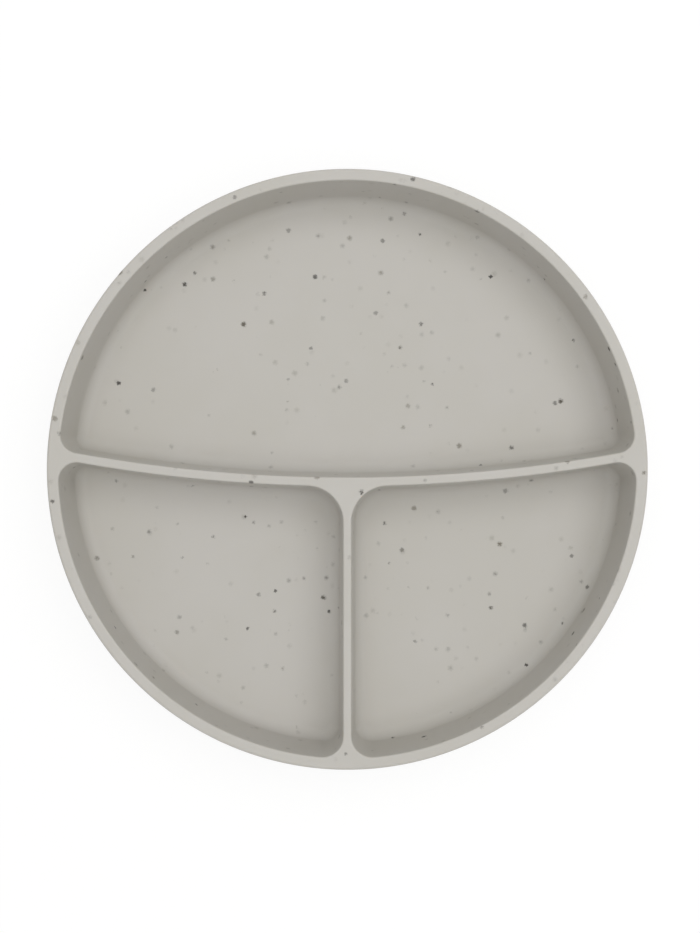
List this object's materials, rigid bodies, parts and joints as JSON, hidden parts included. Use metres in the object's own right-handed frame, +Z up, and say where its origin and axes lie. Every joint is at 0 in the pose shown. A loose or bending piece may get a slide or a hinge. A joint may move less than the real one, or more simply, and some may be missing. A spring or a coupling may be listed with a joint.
{
  "type": "baby suction plate",
  "caption": "Round silicone baby plate with bowed dividers between its compartments and a suction foot with a release tab underneath.",
  "frame": {"origin": "centre of the suction ring, in the plane where it touches the table", "axes": "+Z up out of the compartments, +Y from the short divider towards the large compartment, +X to the right as seen from above with +Y at the top"},
  "size_m": [0.193, 0.193, 0.03],
  "materials": {
    "silicone": "matte"
  },
  "bodies": {
    "root": {"plate": "silicone"}
  },
  "joints": []
}
